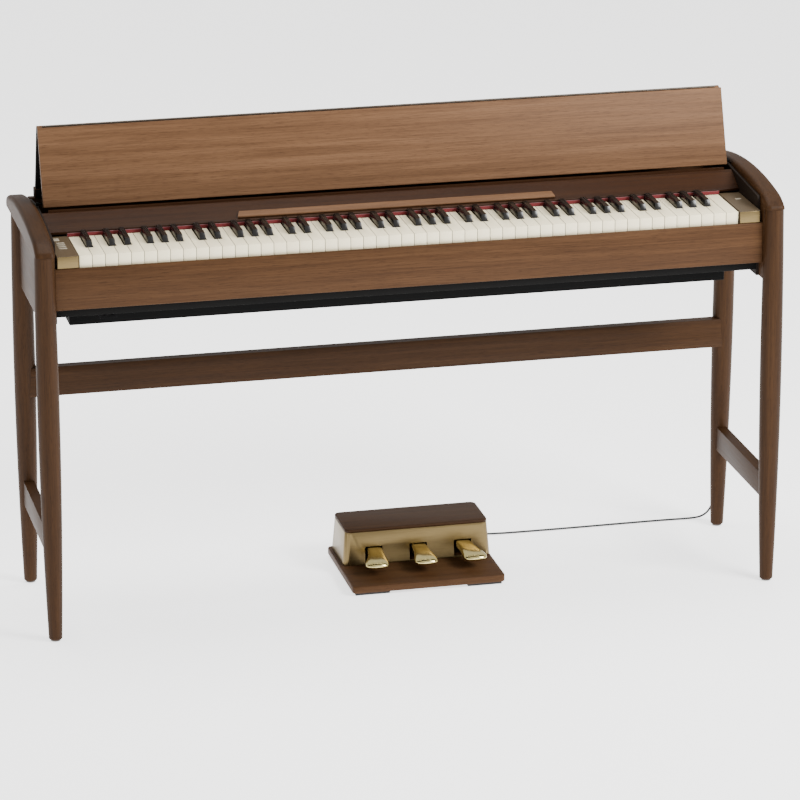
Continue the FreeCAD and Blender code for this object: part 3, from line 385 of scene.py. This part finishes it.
# The same route as the model's, in millimetres until it is scaled here.
CORD_ROUTE = [Vector(point) * MM for point in (
    (139, 166, 33), (139, 174.5, 32.5), (144, 183.5, 30), (153, 188.8, 25), (168, 190, 17),
    (187, 189.5, 9), (214, 188.8, 3.4), (256, 188, 2), (311, 187.4, 2), (367, 187, 2),
    (425, 187.3, 2), (483, 187.8, 2), (541, 188.2, 2), (592, 187.8, 2), (626, 186, 2),
    (649, 182.2, 4), (662, 177.6, 11), (670, 172.6, 23), (674.4, 168.4, 38),
    (676, 165.4, 58), (676.2, 164, 84), (676.1, 163.2, 130), (676, 162.7, 186),
    (676, 161.9, 242), (676, 160.9, 298),
    (676, 159.6, 354), (676, 158, 410), (676, 156.8, 462), (675.6, 158.4, 506),
    (674, 163, 546), (669, 170, 582), (658, 178, 612), (640, 184.6, 637), (618, 188.4, 655),
    (600, 189.4, 662), (588.6, 186.2, 663.6), (581.6, 177.6, 664), (580, 168, 664))]
CORD_DIAMETER = 0.004


def add_cord():
    data = bpy.data.curves.new("cord_line", "CURVE")
    data.dimensions = "3D"
    spline = data.splines.new("NURBS")
    spline.points.add(len(CORD_ROUTE) - 1)
    for point, place in zip(spline.points, CORD_ROUTE):
        point.co = (*place, 1)
    spline.order_u = 3
    spline.use_endpoint_u = True
    spline.resolution_u = 12
    data.bevel_depth = CORD_DIAMETER / 2
    data.bevel_resolution = 4
    data.use_fill_caps = True
    data.materials.append(MATERIALS["cord"])
    piece = add_object("pedal_cord_line", data)
    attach(piece, "stand")
    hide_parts("pedal_cord")


add_cord()

# ---------------------------------------------------------------- rounded copies of the boards

# A bend over this many degrees is shaded as a hard edge.
SHADED_HARD = 42
# Faces that meet at less than the first angle are joined into one, and then the edges that bend
# more than the second are rounded, in degrees.
JOINED_BELOW = 5
ROUNDED_ABOVE = 25
ROUNDING_STEPS = 2
# Edge radii in millimetres.
BOARD_RADII = {
    "lid_rear_panel": 1.2, "lid_front_panel": 1.2, "front_rail": 1.6, "rear_stretcher": 2.0,
    "low_side_stretchers": 2.0, "side_panels": 0.8, "back_panel": 0.8, "rear_top_board": 1.5,
    "fallboard": 1.0, "music_ledge": 1.2, "pedal_base": 2.0, "pedal_unit_top": 1.8,
    "speaker_case": 1.5, "headphone_jack_box": 1.0, "key_bed": 0.8, "inner_deck": 0.6,
    "volume_button": 0.9, "function_buttons": 0.7, "power_button": 0.9, "pedal_feet": 0.8,
    "pedal_housing": 0.7,
}
NATURAL_RADIUS = 0.4
SHARP_RADIUS = 0.7


def new_piece(name, mesh, body, finish, hard_angle=SHADED_HARD):
    """A mesh as a piece of the object, with its material, shading and body."""
    piece = add_object(name, mesh)
    mesh.materials.append(MATERIALS[finish])
    mesh.polygons.foreach_set("use_smooth", [True] * len(mesh.polygons))
    mesh.set_sharp_from_angle(angle=math.radians(hard_angle))
    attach(piece, body)
    return piece


def bevel(shape, edges, radius, steps):
    bmesh.ops.bevel(shape, geom=edges, offset=radius, offset_type="OFFSET", segments=steps,
                    profile=0.5, affect="EDGES", clamp_overlap=True)


def as_mesh(shape, name):
    """A finished bmesh as a new mesh."""
    mesh = bpy.data.meshes.new(name)
    shape.to_mesh(mesh)
    shape.free()
    return mesh


def rounded_copy(node, radius):
    """A copy of a CAD node's mesh whose hard edges are rounded by a bevel."""
    shape = bmesh.new()
    shape.from_mesh(NODES[node].data)
    bmesh.ops.remove_doubles(shape, verts=shape.verts, dist=1e-6)
    bmesh.ops.dissolve_limit(shape, angle_limit=math.radians(JOINED_BELOW), verts=shape.verts,
                             edges=shape.edges)
    hard = [edge for edge in shape.edges
            if len(edge.link_faces) == 2 and edge.calc_face_angle(0) > math.radians(ROUNDED_ABOVE)]
    bevel(shape, hard, radius, ROUNDING_STEPS)
    mesh = as_mesh(shape, node + "_rounded")
    piece = new_piece(node + "_piece", mesh, BODY_OF[node], FINISH[node])
    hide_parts(node)


for node, radius in BOARD_RADII.items():
    rounded_copy(node, radius * MM)
for note in NOTES:
    rounded_copy("keys_" + note, (SHARP_RADIUS if note.endswith("sharp") else NATURAL_RADIUS) * MM)

# ---------------------------------------------------------------- painted faces and trim

LID_OPEN = math.radians(71)
INNER_FACE = Vector((0, -math.sin(LID_OPEN), -math.cos(LID_OPEN)))
# A face whose normal has at least this much of a direction faces that way.
FACES_IT = 0.9
EDGE_FACES_IT = 0.3
# Everything of the sound board's node above this height is the socket plate.
SOCKET_PLATE_FOOT = 0.634


def repaint(mesh, finish, chosen):
    """Gives a second material to the faces that a test chooses."""
    mesh.materials.append(MATERIALS[finish])
    for face in mesh.polygons:
        if chosen(face):
            face.material_index = 1


# Faces that get painted shade: inside the raised lid and at the boards' ends.
def on_shaded_inside_or_end(face):
    return face.normal.dot(INNER_FACE) > FACES_IT or abs(face.normal.x) > FACES_IT


def on_socket_plate(face):
    return face.center.z > SOCKET_PLATE_FOOT


def on_painted_key_shade(face):
    """A key's sides, and the narrow edge between its top and its front, which are painted as shade
    between the keys and a shadow line under the key tops.
    """
    lip_shadow_edge = face.normal.y < -EDGE_FACES_IT and face.normal.z > EDGE_FACES_IT
    return abs(face.normal.x) > FACES_IT or lip_shadow_edge


# The rear boards are walnut outside; black on the lid's inner face and on all their ends is
# painted shade inside the raised lid and along the ends.
for node in ("lid_rear_panel", "rear_top_board"):
    repaint(bpy.data.objects[node + "_piece"].data, "black_board", on_shaded_inside_or_end)
# The socket plate behind the hole in the back is black, the circuit board below it green.
repaint(NODES["sound_board_and_sockets"].data, "black_plastic", on_socket_plate)
# The sides of the white keys and the edge above their fronts are painted brown, as painted shade
# between the keys and a painted shadow line under the key tops.
for node in NATURALS:
    repaint(bpy.data.objects[node + "_piece"].data, "painted_key_shade", on_painted_key_shade)

# The metal strips on the fronts of the key blocks, in millimetres.
STRIP_INNER, STRIP_OUTER = 613.0, 650.8
STRIP_FRONT, STRIP_BACK = -166.4, -164.8
STRIP_FOOT, STRIP_TOP = 698.6, 720.2
STRIP_RADIUS = 0.7
STRIP_STEPS = 3


def plate(name, low, high, radius, finish):
    """A thin rounded block on the stand, between two corners in millimetres."""
    shape = bmesh.new()
    bmesh.ops.create_cube(shape, size=1)
    low, high = Vector(low) * MM, Vector(high) * MM
    middle, span = (low + high) / 2, high - low
    for vertex in shape.verts:
        vertex.co = middle + Vector(side * length for side, length in zip(vertex.co, span))
    bevel(shape, list(shape.edges), radius * MM, STRIP_STEPS)
    new_piece(name, as_mesh(shape, name), "stand", finish)


for side, sign in (("left", -1), ("right", 1)):
    near, far = sorted((sign * STRIP_INNER, sign * STRIP_OUTER))
    plate(side + "_block_front", (near, STRIP_FRONT, STRIP_FOOT), (far, STRIP_BACK, STRIP_TOP),
          STRIP_RADIUS, "champagne")

# ---------------------------------------------------------------- brass pedals

# Sections of a pedal from its shaft to its toe: Y, half width, top, bottom, share of the skew,
# and how round the section is, from a square at 0 to an ellipse at 1.
PEDAL_SECTIONS = [
    (123, 12.5, 50, 42, 0, 0.3), (121, 14, 51, 40, 0, 0.3), (60, 14, 51.5, 40, 0, 0.3),
    (24, 14.2, 52.8, 40.5, 0, 0.3), (4, 15.2, 51.8, 40, 0.25, 0.36),
    (-10, 17.5, 50.8, 38.2, 0.55, 0.46), (-20, 20.0, 50.0, 36.3, 0.8, 0.6),
    (-28, 21.8, 49.3, 35.2, 0.95, 0.75), (-35, 22.2, 48.6, 34.8, 1, 0.9),
    (-40, 20.8, 47.5, 35.0, 1, 1), (-43.5, 17.9, 46.0, 36.0, 1, 1),
    (-45.4, 13.0, 44.3, 37.6, 1, 1), (-46.2, 7.0, 42.6, 39.4, 1, 1)]
PEDAL_AROUND = 48
# X of the middle pedal, the distance between two pedals, and how far the outer toes lean
# outwards, in millimetres.
PEDAL_MIDDLE = 50.5
PEDAL_PITCH = 86.5
PEDAL_SKEW = 8.1
PEDAL_SHADED_HARD = 60


def rounded_square(angle, roundness):
    """A point on a rounded square of half width one."""
    sideways, up = math.cos(angle), math.sin(angle)
    return (math.copysign(abs(sideways) ** roundness, sideways),
            math.copysign(abs(up) ** roundness, up))


def pedal_points(middle, skew):
    """The rings of points around a pedal's sections, in metres."""
    points = []
    for y, half, top, bottom, share, roundness in PEDAL_SECTIONS:
        for step in range(PEDAL_AROUND):
            angle = 2 * math.pi * (step + 0.5) / PEDAL_AROUND
            sideways, up = rounded_square(angle, roundness)
            points.append(Vector((middle + skew * share + sideways * half, y,
                                  (top + bottom) / 2 + up * (top - bottom) / 2)) * MM)
    return points


def pedal_faces():
    """The faces between neighbouring rings, and one face at each end."""
    faces = []
    for row in range(len(PEDAL_SECTIONS) - 1):
        first, second = row * PEDAL_AROUND, (row + 1) * PEDAL_AROUND
        for step in range(PEDAL_AROUND):
            after = (step + 1) % PEDAL_AROUND
            faces.append((first + step, second + step, second + after, first + after))
    last = (len(PEDAL_SECTIONS) - 1) * PEDAL_AROUND
    faces.append(tuple(range(PEDAL_AROUND)))
    faces.append(tuple(last + step for step in reversed(range(PEDAL_AROUND))))
    return faces


def pedal(node, middle, skew):
    """A smooth cast lever that narrows to its shaft and widens to its toe."""
    rings = bpy.data.meshes.new(node + "_rings")
    rings.from_pydata(pedal_points(middle, skew), [], pedal_faces())
    shape = bmesh.new()
    shape.from_mesh(rings)
    bpy.data.meshes.remove(rings)
    bmesh.ops.recalc_face_normals(shape, faces=shape.faces)
    mesh = as_mesh(shape, node + "_brass")
    piece = new_piece(node + "_piece", mesh, BODY_OF[node], FINISH[node],
                      PEDAL_SHADED_HARD)
    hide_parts(node)


for order, node in enumerate(("soft_pedal", "sostenuto_pedal", "damper_pedal"), start=-1):
    pedal(node, PEDAL_MIDDLE + PEDAL_PITCH * order, PEDAL_SKEW * order)

# ---------------------------------------------------------------- stage

FLOOR_HALF = 12
# The floor is half a millimetre below the feet, so that no two surfaces share a plane.
FLOOR_HEIGHT = -0.0005
FLOOR_GLOW = 1.7
STUDIO_GLOW = 0.8


def add_floor():
    mesh = bpy.data.meshes.new("floor")
    corners = [(-FLOOR_HALF, -FLOOR_HALF, 0), (FLOOR_HALF, -FLOOR_HALF, 0),
               (FLOOR_HALF, FLOOR_HALF, 0), (-FLOOR_HALF, FLOOR_HALF, 0)]
    mesh.from_pydata(corners, [], [(0, 1, 2, 3)])
    tree = MaterialTree("pale_floor")
    clouds = tree.noise(tree.place, scale=3)
    tree.shader.inputs["Emission Color"].default_value = (1, 1, 1, 1)
    tree.shader.inputs["Emission Strength"].default_value = FLOOR_GLOW
    mesh.materials.append(tree.finish(tree.mix("MIX", clouds, same(0.90), same(0.93)), 0.6))
    floor = add_object("floor", mesh)
    floor.location.z = FLOOR_HEIGHT


def add_world():
    world = bpy.data.worlds.new("studio")
    bpy.context.scene.world = world
    world.use_nodes = True
    background = world.node_tree.nodes["Background"]
    background.inputs["Color"].default_value = (1.0, 0.99, 0.975, 1)
    background.inputs["Strength"].default_value = STUDIO_GLOW


def softbox(name, place, target, size, watts):
    """A rectangular lamp that looks at a target; lengths in metres."""
    data = bpy.data.lights.new(name, "AREA")
    data.shape = "RECTANGLE"
    data.size, data.size_y = size
    data.energy = watts
    lamp = add_object(name, data)
    lamp.location = place
    lamp.rotation_euler = (Vector(target) - Vector(place)).to_track_quat("-Z", "Y").to_euler()


add_floor()
add_world()
softbox("key_light", place=(2.3, -2.1, 2.6), target=(0.2, 0, 0.6), size=(1.4, 1.4), watts=190)
softbox("fill_light", place=(-3.2, -2.4, 2.0), target=(0, 0, 0.5), size=(2.4, 2.0), watts=12)
softbox("top_light", place=(0, 0.6, 3.4), target=(0, 0, 0.5), size=(3.0, 1.6), watts=80)
